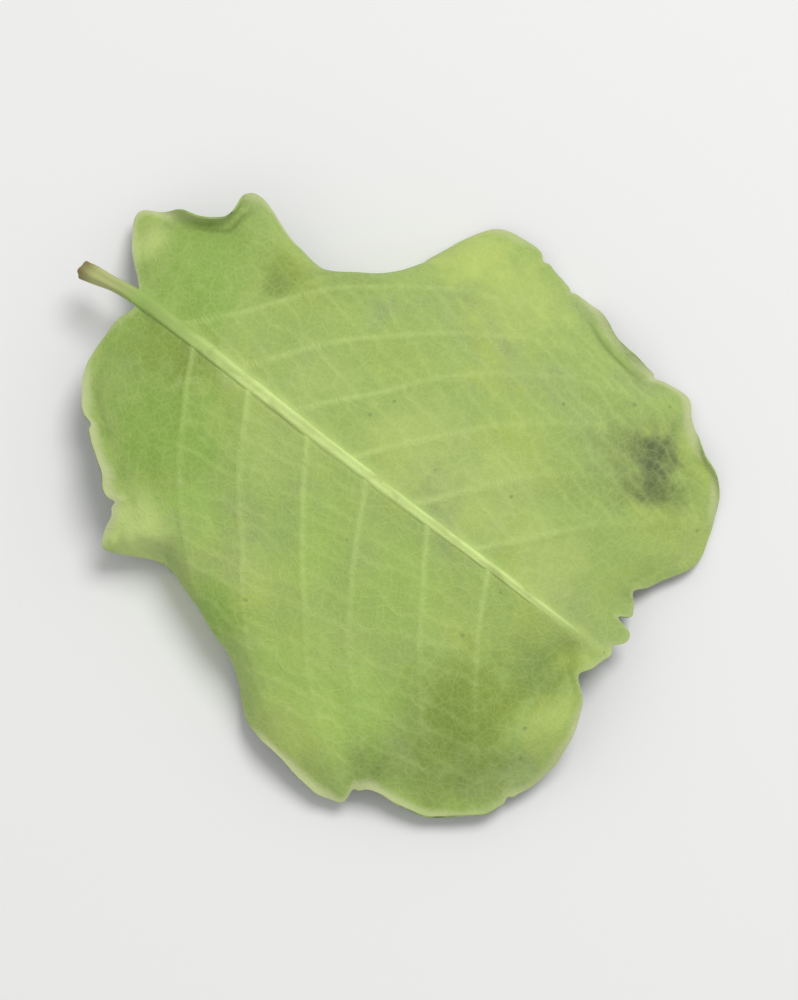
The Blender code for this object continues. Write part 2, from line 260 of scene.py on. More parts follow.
# The section of midrib and stalk. Places along them are shares of their length.
STALK_JOIN = 0.3
STALK_SWELL_FROM = 0.45
RIB_TAPER = 0.9
RIB_POINT = 0.03
RIB_POINT_LEAST = 0.04
RIB_SINK_POWER = 12
RIB_FLATNESS = 0.38
RIB_SUNK = 0.28
RIB_ROUND_FROM = 0.4
FURROWS = 5
FURROW_TWIST = (1.3, 9.0)  # how far they wander round it, and how fast along it
FURROW_DEPTHS = (0.16, 0.05)  # on the stalk alone, and everywhere
STALK_UV_WRAP = 0.6  # mm of pattern from its middle line to its side
MERGE_GAP = 0.001 * MM

UV_NAME = "flat"
UV_SPAN = 40.0  # millimetres of flat leaf across the whole UV square

# The stage, in metres. Each light has how far up, right and towards the camera it is, and its size.
FLOOR_SIZE = 4.0
LIGHTS = (("key_light", (0.17, 0.09, 0.24), 0.16), ("fill_light", (-0.20, -0.18, 0.16), 0.25))
CAMERA_CLIP = (0.001, 10.0)


def ease(x):
    """0 up to x = 0, 1 from x = 1, smooth between."""
    x = np.clip(x, 0.0, 1.0)
    return x * x * (3 - 2 * x)


def bumps(x, y, rows):
    """The smooth bumps of all these rows at these places."""
    total = np.zeros(len(x))
    for height, size, pattern in rows:
        total += [height * noise.noise((a / size, b / size, pattern * PATTERN_STEP)) for a, b in zip(x, y)]
    return total


def bearing_of(x, y):
    """The bearing of a place from the middle of the blade, in degrees."""
    return np.degrees(np.arctan2(x, -y))


def margin_value(bearing, column):
    """A column of MARGIN as a smooth closed curve, read at these bearings in degrees."""
    knots = np.array([row[BEARING] for row in MARGIN], float)
    values = np.array([row[column] for row in MARGIN], float)
    knots = np.concatenate([knots[-2:] - 360, knots, knots[:2] + 360])
    values = np.concatenate([values[-2:], values, values[:2]])
    slopes = np.gradient(values, knots)
    bearing = np.mod(bearing, 360.0)
    i = np.searchsorted(knots, bearing, side="right") - 1
    span = knots[i + 1] - knots[i]
    t = (bearing - knots[i]) / span
    start = values[i] * (1 + 2 * t) * (1 - t) ** 2 + slopes[i] * span * t * (1 - t) ** 2
    end = values[i + 1] * t * t * (3 - 2 * t) + slopes[i + 1] * span * t * t * (t - 1)
    return start + end


def rim_share(distance, reach, width):
    """From 0 to 1, how far into the outermost strip of this width a place at this distance lies."""
    return ease((distance - reach + width) / width)


def turned_from(bearing, middle):
    """How many degrees these bearings lie from this one, either way round."""
    return (bearing - middle + 180) % 360 - 180


def nearness(bearing, middle, half_width, power):
    """1 in the middle of a stretch of the margin, 0 beyond it. A higher power gives it steeper ends."""
    return np.exp(-((turned_from(bearing, middle) / half_width) ** power))


def stretches(bearing, rows, power):
    """The sum, at these bearings, of stretches given as rows of middle, half width and height."""
    return sum(most * nearness(bearing, middle, width, power) for middle, width, most in rows)


def leaf_point(flat_x, flat_y):
    """Where drying has moved these places of the flat leaf: an array of x, y, z in mm."""
    flat_x = np.atleast_1d(np.asarray(flat_x, float))
    flat_y = np.atleast_1d(np.asarray(flat_y, float))
    distance = np.hypot(flat_x, flat_y)
    angle = np.arctan2(flat_x, -flat_y)
    bearing = np.degrees(angle)
    reach = margin_value(bearing, REACH)[:, None]
    curl = np.radians(margin_value(bearing, CURL))[:, None]
    flare = np.radians(stretches(bearing, FLARES, 2))[:, None]
    # The section from the middle out to the place is followed in short steps, each at its own slope.
    along = distance[:, None] * (np.arange(PROFILE_STEPS) + 0.5) / PROFILE_STEPS
    slope = np.radians(DOME_DEG) * along / HALF_LENGTH + curl * rim_share(along, reach, CURL_WIDTH)
    slope -= flare * rim_share(along, reach, FLARE_WIDTH)
    for middle, half_width, turn, width in TURNED_EDGES:
        near = nearness(bearing, middle, half_width, 4)[:, None]
        slope -= math.radians(turn) * near * rim_share(along, reach, width)
    out = distance * np.cos(slope).mean(axis=1)
    height = -distance * np.sin(slope).mean(axis=1)
    share = distance / reach[:, 0]
    for count, wave, phase in MARGIN_WAVES:
        height += wave * share**3 * np.cos(count * angle + math.radians(phase))
    height -= FOLD_SLOPE * (np.hypot(flat_x, FOLD_ROUNDING) - FOLD_ROUNDING)
    for x, y, radius, rise in SWELLS:
        height += rise * np.exp(-((flat_x - x) ** 2 + (flat_y - y) ** 2) / radius**2)
    height += tip_fold(flat_x, flat_y)
    return np.stack([out * np.sin(angle), -out * np.cos(angle), height], axis=1)


def leaf_normal(flat_x, flat_y):
    """The blade's upward unit normals at these places."""
    across = leaf_point(flat_x + NUDGE, flat_y) - leaf_point(flat_x - NUDGE, flat_y)
    along = leaf_point(flat_x, flat_y + NUDGE) - leaf_point(flat_x, flat_y - NUDGE)
    normal = np.cross(across, along)
    return normal / np.linalg.norm(normal, axis=1)[:, None]


def midrib_x(flat_y):
    """The midrib's flat x at this flat y: nearly straight, and towards +X at the tip."""
    t = (HALF_LENGTH - flat_y) / BLADE_LENGTH
    return 4 * MIDRIB_BOW * t * (1 - t) + MIDRIB_TIP_X * t * t


def side_vein(number, side):
    """Flat points of a side vein, from the midrib out until it fades near the margin."""
    start_y = VEIN_FIRST_Y - VEIN_SPACING * number - (VEIN_STAGGER if side < 0 else 0.0)
    first, last = VEIN_HEADINGS
    place = np.array([midrib_x(start_y), start_y])
    path = []
    while True:
        path.append(place)
        if np.hypot(*place) > VEIN_REACH * margin_value(bearing_of(*place), REACH):
            return np.array(path)
        out = min(1.0, abs(place[0] - path[0][0]) / HALF_LENGTH)
        spot = (place[0] / VEIN_WANDER_SIZE, place[1] / VEIN_WANDER_SIZE, number + 0.5 * side)
        wander = VEIN_WANDER * noise.noise(spot)
        heading = math.radians(first + (last - first) * out**VEIN_TURN + wander)
        place = place + VEIN_STEP * np.array([side * math.sin(heading), -math.cos(heading)])


def along_path(path, distance):
    """The point at this distance along a path, or its last point."""
    steps = np.linalg.norm(np.diff(path, axis=0), axis=1)
    run = np.concatenate([[0.0], np.cumsum(steps)])
    return np.array([np.interp(distance, run, path[:, k]) for k in (0, 1)]), run[-1]


def cross_veins(near, far, layer):
    """The thin veins that run across from one side vein to the next."""
    veins = []
    length = along_path(near, 0.0)[1]
    for k in range(1, int(length / CROSS_SPACING)):
        shift = CROSS_SHIFT * CROSS_SPACING * noise.noise((k * 1.7, layer * 3.1, 0.4))
        start = along_path(near, k * CROSS_SPACING + shift)[0]
        end = along_path(far, (k - CROSS_LAG) * CROSS_SPACING + 1.6 * shift)[0]
        t = np.linspace(0, 1, CROSS_POINTS)[:, None]
        bend = np.array([end[1] - start[1], start[0] - end[0]]) * CROSS_WANDER
        turn = noise.noise((k * 2.3, layer * 1.9, 2.4))
        veins.append(start + (end - start) * t + bend * turn * np.sin(2 * math.pi * t))
    return veins


def vein_tree(paths, start, end):
    """A search tree over points set closely along paths, and how strong the vein is at each point."""
    points = []
    power = []
    for path in paths:
        length = along_path(path, 0.0)[1]
        for distance in np.arange(0.0, length, TREE_STEP):
            points.append(along_path(path, distance)[0])
            power.append(start + (end - start) * distance / length)
    tree = kdtree.KDTree(len(points))
    for k, (x, y) in enumerate(points):
        tree.insert((x, y, 0.0), k)
    tree.balance()
    return tree, np.array(power)


def vein_lines(flat_x, flat_y, tree, power, width):
    """From 0 to 1, how much these places stand on a vein of this half width, and how far off it they are."""
    found = [tree.find((x, y, 0.0)) for x, y in zip(flat_x, flat_y)]
    gap = np.array([f[2] for f in found])
    strength = power[[f[1] for f in found]]
    return strength * np.exp(-((gap / width) ** 2)), gap


def ragged_reach(bearing):
    """How far the margin stands out or in from its smooth line, in mm: ripples and a few small nicks."""
    angle = np.radians(bearing)
    rough = bumps(np.sin(angle) * MARGIN_RING, -np.cos(angle) * MARGIN_RING, RAGGED_BUMPS)
    return rough - stretches(bearing, NICKS, 2)


def tip_fold(flat_x, flat_y):
    """How far the fold beside the tip moves these places up or down, in mm."""
    (x0, y0), (x1, y1) = FOLD_ENDS
    length = math.hypot(x1 - x0, y1 - y0)
    along = ((flat_x - x0) * (x1 - x0) + (flat_y - y0) * (y1 - y0)) / length
    beyond = ((flat_y - y0) * (x1 - x0) - (flat_x - x0) * (y1 - y0)) / length
    fade = ease(along / FOLD_FADES[0]) * ease((length - along) / FOLD_FADES[1])
    groove = -FOLD_DEPTH * np.exp(-((beyond / FOLD_WIDTH) ** 2))
    rise = FOLD_RISE * np.maximum(beyond, 0.0)
    return (groove + rise) * fade


def pale_edge(bearing, from_margin, flat_x, flat_y):
    """From 0 to 1, how much the margin has dried pale at these places."""
    pale = PALE_EVERYWHERE + bumps(flat_x, flat_y, PALE_BUMPS) + stretches(bearing, PALE_EDGES, 4)
    pale = np.clip(pale, 0.0, 1.0)
    width = PALE_WIDTH[0] + PALE_WIDTH[1] * pale + bumps(flat_x, flat_y, PALE_WIDTH_BUMPS)
    width = np.clip(width, *PALE_WIDTH_LIMITS)
    return pale * (1 - ease(from_margin / width - PALE_FULL))


def crease_shade(bearing, from_margin):
    """From 0 to 1, how much painted shade these places get in the creases along the margin."""
    dark = np.zeros_like(bearing)
    for middle, half_width, inwards in CREASE_SHADES:
        along = nearness(bearing, middle, half_width, 4)
        dark += along * np.exp(-(((from_margin - inwards) / CREASE_SHADE_WIDTH) ** 2))
    return dark


def streaks(flat_x, flat_y):
    """Fine wrinkles that run out with the side veins, from about -1 to 1."""
    heading = math.radians(STREAK_HEADING)
    out = np.abs(flat_x - midrib_x(flat_y))
    with_veins = out * math.sin(heading) - flat_y * math.cos(heading)
    across = out * math.cos(heading) + flat_y * math.sin(heading)
    side = np.where(flat_x > midrib_x(flat_y), STREAK_SIDES, -STREAK_SIDES)
    return bumps(with_veins / STREAK_STRETCH[0] + side, across / STREAK_STRETCH[1], STREAK_BUMPS)


def crinkles(sizes, flat_x, flat_y):
    """How far drying has crinkled the blade up or down at these places, in metres."""
    reach = margin_value(bearing_of(flat_x, flat_y), REACH)
    near_margin = 1 - ease((reach - np.hypot(flat_x, flat_y)) / RIPPLE_WIDTH)
    rise = sizes.crinkle * bumps(flat_x, flat_y, CRINKLE_BUMPS)
    return rise + sizes.ripple * near_margin * bumps(flat_x, flat_y, RIPPLE_BUMPS)


def deselect_all():
    if bpy.context.object and bpy.context.object.mode != "OBJECT":
        bpy.ops.object.mode_set(mode="OBJECT")
    bpy.ops.object.select_all(action="DESELECT")


def mesh_points(obj):
    """The piece's vertices as an array of x, y, z."""
    points = np.zeros(len(obj.data.vertices) * 3, np.float32)
    obj.data.vertices.foreach_get("co", points)
    return points.reshape(-1, 3).astype(float)


def set_mesh_points(obj, points):
    obj.data.vertices.foreach_set("co", np.asarray(points, np.float32).ravel())
    obj.data.update()


def point_attribute(obj, name, values):
    attribute = obj.data.attributes.new(name, "FLOAT", "POINT")
    attribute.data.foreach_set("value", np.asarray(values, np.float32))


def flat_uv(obj, flat_x, flat_y):
    """A UV map that holds each vertex's place on the flat leaf."""
    layer = obj.data.uv_layers.new(name=UV_NAME)
    corners = np.zeros(len(obj.data.loops), np.int32)
    obj.data.loops.foreach_get("vertex_index", corners)
    uv = np.stack([flat_x, flat_y], axis=1)[corners] / UV_SPAN + 0.5
    layer.data.foreach_set("uv", uv.astype(np.float32).ravel())


def finish_piece(obj, name, *materials):
    """Names a finished piece, gives it its materials and ties it to the frame."""
    obj.name = name
    obj.data.name = name
    for material in materials:
        obj.data.materials.append(material)
    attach(obj, BODY)
    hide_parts(NODE)
    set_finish(obj, SLOT)


def disc_place(square_x, square_y):
    """Where places of a square from -1 to 1 come to lie on a round disc, as its square rings become round:
    their share of the radius, and their angle from the tip towards +X."""
    ring = np.maximum(np.abs(square_x), np.abs(square_y))
    safe = np.maximum(ring, 1e-9)
    on_side = np.abs(square_x) >= np.abs(square_y)
    turn = math.pi / 4 * np.where(on_side, square_y, square_x) / safe
    side_angle = np.where(square_x >= 0, math.pi / 2 + turn, -math.pi / 2 - turn)
    end_angle = np.where(square_y >= 0, math.pi - turn, turn)
    share = ring * (1 + DISC_CROWDING - DISC_CROWDING * ring**2)
    return share, np.where(on_side, side_angle, end_angle)


def number(name, description, default, **settings):
    return FloatProperty(name=name, description=description, default=default, **settings)


def length(name, description, default):
    return number(name, description, default, min=0.0, unit="LENGTH", precision=6)


def count(name, description, default, least):
    return IntProperty(name=name, description=description, default=default, min=least)


class MORINGA_PG_blade(PropertyGroup):
    """Sizes of the blade."""

    thickness: length("Thickness", "How thick the dried blade is", 0.00015)
    thin_edge: number("Thin edge", "How much of that is left at the margin", 0.55, subtype="FACTOR")
    cells: count("Mesh cells", "Cells of the blade's mesh along each side", 218, 20)
    midrib_relief: length("Midrib relief", "How far the blade rises along the midrib", 0.00016)
    vein_relief: length("Vein relief", "How far the side veins stand out", 0.00006)
    cross_relief: length("Cross vein relief", "How far the cross veins stand out", 0.000022)
    pucker: length("Pucker", "How far the blade sinks between its side veins", 0.00013)
    crinkle: length("Crinkle", "How strongly drying has crinkled the blade", 0.00015)
    streak: length("Streaks", "How far the wrinkles along the side veins stand out", 0.000022)
    ripple: length("Margin ripple", "How far the margin ripples up and down", 0.00018)


class MORINGA_PG_stalk(PropertyGroup):
    """Sizes of the midrib and the stalk."""

    length: length("Stalk length", "How far the stalk runs out from the blade", 0.0028)
    radius: length("Stalk radius", "Radius of the stalk in its middle", 0.00032)
    end_radius: length("Swollen end", "Radius of the stalk where it left the twig", 0.00043)
    rib_radius: length("Midrib radius", "Half width of the midrib where it enters the blade", 0.00036)
    tip_radius: length("Midrib tip radius", "Half width of the midrib at the tip", 0.00016)
    turn: length("Turn", "How far the stalk's end turns to the left", 0.0005)
    drop: length("Drop", "How far the stalk's end hangs", 0.0007)
    sides: count("Sides", "Sides of the stalk's section", 28, 6)
    steps: count("Steps", "Rings along midrib and stalk", 320, 20)


def colour(name, default):
    told = "Colour of the " + name.lower()
    return FloatVectorProperty(
        name=name, description=told, default=default, size=3, subtype="COLOR", min=0.0, max=1.0
    )


class MORINGA_PG_colours(PropertyGroup):
    """Colours of the leaf, as linear red, green and blue."""

    underside: colour("Underside", (0.35, 0.485, 0.125))
    underside_grey: colour("Greyer patches", (0.32, 0.42, 0.145))
    underside_yellow: colour("Yellower patches", (0.42, 0.53, 0.115))
    # Besides the leaf's own tones, bright and yellow also paint highlight where the blade faces the key
    # light, and leafy, olive and shade paint shade in the folds and curled-down bites; shade also paints the
    # creases.
    bright: colour("Palest patches", (0.47, 0.58, 0.175))
    yellow: colour("Yellowed lobes", (0.51, 0.62, 0.15))
    lime: colour("Freshest patches", (0.38, 0.59, 0.11))
    leafy: colour("Green patches", (0.25, 0.41, 0.07))
    olive: colour("Olive patches", (0.24, 0.34, 0.05))
    shade: colour("Darkest patches", (0.19, 0.275, 0.065))
    bruise: colour("Bruise", (0.09, 0.115, 0.05))
    vein: colour("Midrib and side veins", (0.68, 0.85, 0.29))
    pale: colour("Palest lobe", (0.60, 0.75, 0.24))
    upper: colour("Upper face", (0.105, 0.20, 0.042))
    upper_dark: colour("Upper face's patches", (0.05, 0.105, 0.03))
    rim: colour("Dry rim", (0.56, 0.61, 0.31))
    straw: colour("Stalk", (0.50, 0.52, 0.20))
    brown: colour("Stalk's end", (0.20, 0.13, 0.055))


class MORINGA_PG_stage(PropertyGroup):
    """Floor, lights and camera."""

    floor: colour("Floor", (0.90, 0.90, 0.89))
    azimuth: number("Azimuth", "Which side the camera looks from", math.radians(-50), subtype="ANGLE")
    elevation: number("Elevation", "How steeply the camera looks down", math.radians(78), subtype="ANGLE")
    lens: number("Lens", "Focal length in millimetres", 100.0, unit="CAMERA")
    fill: number("Fill", "How much of the picture's width the leaf fills", 0.80, subtype="FACTOR")
    key_power: number("Key light", "Power of the main light", 0.50, unit="POWER")
    fill_power: number("Fill light", "Power of the light opposite", 0.06, unit="POWER")
    sky: number("Sky", "Strength of the even light all round", 0.48)


def settings_of(kind, name):
    return PointerProperty(type=kind, name=name, description=kind.__doc__)


class MORINGA_PG_settings(PropertyGroup):
    """Everything about the leaf that can be changed."""

    blade: settings_of(MORINGA_PG_blade, "Blade")
    stalk: settings_of(MORINGA_PG_stalk, "Stalk")
    colours: settings_of(MORINGA_PG_colours, "Colours")
    stage: settings_of(MORINGA_PG_stage, "Stage")


def socket_name(keyword):
    return keyword.capitalize().replace("_", " ")


def new_group(name, output, **inputs):
    """A shader node group, its inputs and its output. Each input is given with its default: a number, a
    colour, or None for a place. The place "Vector" is always the first."""
    tree = bpy.data.node_groups.new(name, "ShaderNodeTree")
    for keyword, default in {"vector": None, **inputs}.items():
        kind = "Vector" if default is None else "Float" if isinstance(default, float) else "Color"
        made = tree.interface.new_socket(
            name=socket_name(keyword), in_out="INPUT", socket_type="NodeSocket" + kind
        )
        if default is not None:
            made.default_value = default
    kind = "NodeSocketColor" if output == "Color" else "NodeSocketFloat"
    tree.interface.new_socket(name=output, in_out="OUTPUT", socket_type=kind)
    return tree, tree.nodes.new("NodeGroupInput").outputs, tree.nodes.new("NodeGroupOutput").inputs[output]


def set_inputs(tree, node, inputs):
    """Gives a node's inputs these values, or links them where the value is another node's output."""
    for socket, value in inputs.items():
        target = node.inputs[socket]
        if isinstance(value, bpy.types.NodeSocket):
            tree.links.new(value, target)
        elif target.type == "RGBA" and len(value) == 3:
            target.default_value = (*value, 1.0)
        else:
            target.default_value = value


def add_node(tree, kind, inputs, **settings):
    """A new node with these inputs and settings."""
    node = tree.nodes.new("ShaderNode" + kind)
    for name, value in settings.items():
        setattr(node, name, value)
    set_inputs(tree, node, inputs)
    return node


def math_node(tree, operation, *values):
    return add_node(tree, "Math", dict(enumerate(values)), operation=operation).outputs[0]


def vector_node(tree, operation, *values):
    return add_node(tree, "VectorMath", dict(enumerate(values)), operation=operation).outputs


def noise_node(tree, vector, scale, detail, roughness=0.5, distortion=0.0):
    inputs = {"Vector": vector, "Scale": scale, "Detail": detail}
    return add_node(tree, "TexNoise", {**inputs, "Roughness": roughness, "Distortion": distortion}).outputs


def blend(tree, factor, first, second):
    """The first colour, turning into the second as the factor goes from 0 to 1."""
    inputs = {"Factor": factor, 6: first, 7: second}
    return add_node(tree, "Mix", inputs, data_type="RGBA").outputs[2]


def tint(tree, skin, *coats):
    """The skin under coats of other tones. Each coat is a mask, how well it covers, and its tone."""
    for mask, strength, tone in coats:
        skin = blend(tree, math_node(tree, "MULTIPLY", mask, strength), skin, tone)
    return skin


def ramp(tree, value, low, high, start=0.0, end=1.0):
    """The value from low to high, spread smoothly from start to end."""
    inputs = {"Value": value, "From Min": low, "From Max": high, "To Min": start, "To Max": end}
    return add_node(tree, "MapRange", inputs, interpolation_type="SMOOTHSTEP").outputs[0]


def mottle_group():
    """Patches of colour at two scales, as in dried leaves."""
    grey = (0.5, 0.5, 0.5, 1.0)
    tree, given, result = new_group(
        "mottle", "Color", patches_per_mm=0.3, main=grey, dull=grey, bright=grey, speckle=0.2
    )
    vector, scale = given["Vector"], given["Patches per mm"]
    elsewhere = vector_node(tree, "ADD", vector, (31.0, 17.0, 5.0))[0]
    dull = noise_node(tree, vector, scale, 4.0, 0.55, 0.6)["Fac"]
    bright = noise_node(tree, elsewhere, scale, 5.0, 0.6, 0.3)["Fac"]
    speck = noise_node(tree, vector, 5.5, 3.0, 0.7)["Fac"]
    skin = blend(tree, ramp(tree, dull, 0.47, 0.68), given["Main"], given["Dull"])
    skin = blend(tree, ramp(tree, bright, 0.48, 0.70), skin, given["Bright"])
    skin = tint(tree, skin, (ramp(tree, speck, 0.45, 0.75), given["Speckle"], given["Dull"]))
    tree.links.new(skin, result)


def net_group():
    """The fine net of the smallest veins: 1 on a line of it, 0 between."""
    tree, given, result = new_group("vein_net", "Lines", meshes_per_mm=1.6, line=0.09)
    warp = noise_node(tree, given["Vector"], 1.4, 2.0)["Color"]
    shift = vector_node(tree, "SUBTRACT", warp, (0.5, 0.5, 0.5))[0]
    moved = vector_node(tree, "MULTIPLY_ADD", shift, (0.35, 0.35, 0.0), given["Vector"])[0]
    inputs = {"Vector": moved, "Scale": given["Meshes per mm"]}
    cells = add_node(tree, "TexVoronoi", inputs, feature="DISTANCE_TO_EDGE")
    tree.links.new(ramp(tree, cells.outputs["Distance"], 0.0, given["Line"], 1.0, 0.0), result)


def spot_group():
    """A soft patch with an uneven edge round a place on the flat leaf: 1 in its middle, 0 outside."""
    tree, given, result = new_group("spot", "Mask", centre=None, radius=1.0, unevenness=0.5)
    gap = vector_node(tree, "DISTANCE", given["Vector"], given["Centre"])["Value"]
    rough = noise_node(tree, given["Vector"], 1.1, 3.0)["Fac"]
    wobble = math_node(tree, "MULTIPLY", math_node(tree, "SUBTRACT", rough, 0.5), given["Unevenness"])
    share = math_node(tree, "DIVIDE", gap, given["Radius"])
    share = math_node(tree, "MULTIPLY_ADD", wobble, 2.0, share)
    tree.links.new(ramp(tree, share, 0.25, 1.1, 1.0, 0.0), result)


def dots_group():
    """Scattered small dark dots of uneven size: 1 in a dot, 0 outside."""
    tree, given, result = new_group("dots", "Mask", dots_per_mm=1.0, size=0.1)
    ragged = noise_node(tree, given["Vector"], 7.0, 2.0)["Color"]
    moved = vector_node(tree, "MULTIPLY_ADD", ragged, (0.16, 0.16, 0.0), given["Vector"])[0]
    cells = add_node(tree, "TexVoronoi", {"Vector": moved, "Scale": given["Dots per mm"]}).outputs
    chance = add_node(tree, "SeparateColor", {"Color": cells["Color"]}).outputs[0]
    size = math_node(tree, "MULTIPLY_ADD", ramp(tree, chance, 0.5, 1.0), given["Size"], 0.001)
    share = math_node(tree, "DIVIDE", cells["Distance"], size)
    tree.links.new(ramp(tree, share, 0.5, 1.2, 1.0, 0.0), result)


def grain_group():
    """The fine grain of a dried leaf's skin and its small wrinkles, as a height."""
    tree, given, result = new_group("skin_grain", "Height", wrinkles=0.5)
    fine = noise_node(tree, given["Vector"], 9.0, 4.0, 0.6)["Fac"]
    wrinkle = noise_node(tree, given["Vector"], 1.7, 5.0, 0.55, 0.8)["Fac"]
    tree.links.new(math_node(tree, "MULTIPLY_ADD", wrinkle, given["Wrinkles"], fine), result)


def group_node(tree, group, vector, **inputs):
    """One of the groups above, placed in a material with its own values."""
    named = {socket_name(keyword): value for keyword, value in inputs.items()}
    made = bpy.data.node_groups[group]
    return add_node(tree, "Group", {"Vector": vector, **named}, node_tree=made).outputs[0]


def new_material(name):
    material = bpy.data.materials.new(name)
    material.use_nodes = True
    tree = material.node_tree
    return material, tree, tree.nodes["Principled BSDF"]


def flat_vector(tree):
    """The flat leaf's x and y in millimetres, from the piece's UV map."""
    uv = add_node(tree, "UVMap", {}, uv_map=UV_NAME).outputs[0]
    centred = vector_node(tree, "SUBTRACT", uv, (0.5, 0.5, 0.0))[0]
    return vector_node(tree, "MULTIPLY", centred, (UV_SPAN, UV_SPAN, UV_SPAN))[0]


def attribute(tree, name):
    return add_node(tree, "Attribute", {}, attribute_name=name).outputs["Fac"]


def bump_normal(tree, height, distance, strength, normal=None):
    inputs = {"Height": height, "Distance": distance, "Strength": strength}
    if normal is not None:
        inputs["Normal"] = normal
    return add_node(tree, "Bump", inputs).outputs[0]


def times(tone, factor):
    """A colour made this many times as bright, up to full brightness."""
    return tuple(min(1.0, factor * part) for part in tone)


def underside_material(colours):
    """The pale, dull underside: mottled grey-green and yellow-green, with paler veins, a bruise and patches
    of tone, some of them painted light and shade, and painted shade in creases.
    """
    material, tree, shader = new_material("pale_underside")
    flat = flat_vector(tree)
    skin = group_node(
        tree, "mottle", flat, patches_per_mm=0.20, speckle=0.35,
        main=colours.underside, dull=colours.underside_grey, bright=colours.underside_yellow,
    )
    # Some of these patches are painted highlight and some painted shade, as marked in PATCHES.
    for x, y, radius, strength, tone in PATCHES:
        mask = group_node(tree, "spot", flat, centre=(x, y, 0.0), radius=radius, unevenness=0.6)
        skin = tint(tree, skin, (mask, strength, getattr(colours, tone)))
    wide_net = group_node(tree, "vein_net", flat, meshes_per_mm=1.3, line=0.09)
    fine_net = group_node(tree, "vein_net", flat, meshes_per_mm=3.4, line=0.16)
    skin = tint(
        tree,
        skin,
        (wide_net, 0.07, colours.vein),
        (fine_net, 0.09, colours.vein),
        (attribute(tree, "cross"), 0.12, colours.vein),
        (math_node(tree, "POWER", attribute(tree, "vein"), 1.6), 0.36, colours.vein),
        (math_node(tree, "POWER", attribute(tree, "midrib"), 1.5), 0.75, colours.vein),
        (group_node(tree, "dots", flat, dots_per_mm=0.9, size=0.09), 0.35, colours.bruise),
        # Painted shade in the creases along the margin.
        (attribute(tree, "crease_shade"), 0.7, colours.shade),
        (attribute(tree, "pale"), 0.85, colours.rim),
    )
    grain = group_node(tree, "skin_grain", flat, wrinkles=1.1)
    normal = bump_normal(tree, grain, 0.00005, 0.5)
    normal = bump_normal(tree, wide_net, 0.00002, 0.3, normal)
    normal = bump_normal(tree, fine_net, 0.000012, 0.5, normal)
    roughness = ramp(tree, grain, 0.6, 1.4, 0.60, 0.78)
    set_inputs(tree, shader, {"Base Color": skin, "Normal": normal, "Roughness": roughness})
    set_inputs(tree, shader, {"Specular IOR Level": 0.32, "Sheen Weight": 0.06, "Sheen Roughness": 0.5})
    return material


def upper_material(colours):
    """The darker green upper face, which lies down."""
    material, tree, shader = new_material("green_upper_face")
    flat = flat_vector(tree)
    skin = group_node(
        tree, "mottle", flat, patches_per_mm=0.35, speckle=0.4,
        main=colours.upper, dull=colours.upper_dark, bright=times(colours.upper, 1.5),
    )
    net = group_node(tree, "vein_net", flat, meshes_per_mm=1.5, line=0.10)
    skin = tint(
        tree,
        skin,
        (net, 0.12, colours.underside),
        (attribute(tree, "vein"), 0.4, colours.underside),
        (attribute(tree, "midrib"), 0.6, colours.underside),
    )
    grain = group_node(tree, "skin_grain", flat, wrinkles=1.3)
    normal = bump_normal(tree, grain, 0.00006, 0.6)
    normal = bump_normal(tree, math_node(tree, "MULTIPLY", net, -1.0), 0.00003, 0.4, normal)
    roughness = ramp(tree, grain, 0.6, 1.4, 0.45, 0.62)
    set_inputs(tree, shader, {"Base Color": skin, "Normal": normal, "Roughness": roughness})
    set_inputs(tree, shader, {"Specular IOR Level": 0.4})
    return material


def rim_material(colours):
    """The blade's very edge, as thin as paper and partly dried to straw."""
    material, tree, shader = new_material("dry_rim")
    skin = group_node(
        tree, "mottle", flat_vector(tree), patches_per_mm=0.8, speckle=0.3,
        main=colours.underside, dull=colours.upper, bright=colours.rim,
    )
    set_inputs(tree, shader, {"Base Color": skin, "Roughness": 0.75})
    return material


def stalk_material(colours):
    """Midrib and stalk: green at the base, pale along the blade, straw on the stalk, brown at its end."""
    material, tree, shader = new_material("straw_stalk")
    flat = flat_vector(tree)
    skin = group_node(
        tree, "mottle", flat, patches_per_mm=0.5, speckle=0.25,
        main=colours.vein, dull=colours.bright, bright=times(colours.vein, 1.1),
    )
    out = attribute(tree, "out")
    rib = attribute(tree, "rib")
    skin = blend(tree, ramp(tree, rib, 0.0, 0.30, 0.8, 0.0), skin, colours.leafy)
    skin = blend(tree, ramp(tree, rib, 0.86, 0.99, 0.0, 0.8), skin, colours.underside)
    skin = blend(tree, ramp(tree, out, 0.02, 0.5), skin, colours.straw)
    skin = blend(tree, ramp(tree, out, 0.72, 1.0, 0.0, 0.9), skin, colours.brown)
    skin = tint(tree, skin, (attribute(tree, "furrow"), 0.35, colours.underside_grey))
    grain = group_node(tree, "skin_grain", flat, wrinkles=0.8)
    normal = bump_normal(tree, grain, 0.00004, 0.5)
    set_inputs(tree, shader, {"Base Color": skin, "Normal": normal})
    set_inputs(tree, shader, {"Roughness": 0.62, "Specular IOR Level": 0.35})
    return material


def recalculate_normals():
    """Turns the active piece's faces outwards."""
    bpy.ops.object.mode_set(mode="EDIT")
    bpy.ops.mesh.select_all(action="SELECT")
    bpy.ops.mesh.normals_make_consistent(inside=False)
    bpy.ops.object.mode_set(mode="OBJECT")


def toward_tip(flat_y):
    """From 0 at the midrib's base to 1 at its tip."""
    return np.clip((MIDRIB_START_Y - flat_y) / (MIDRIB_START_Y - MIDRIB_END_Y), 0.0, 1.0)


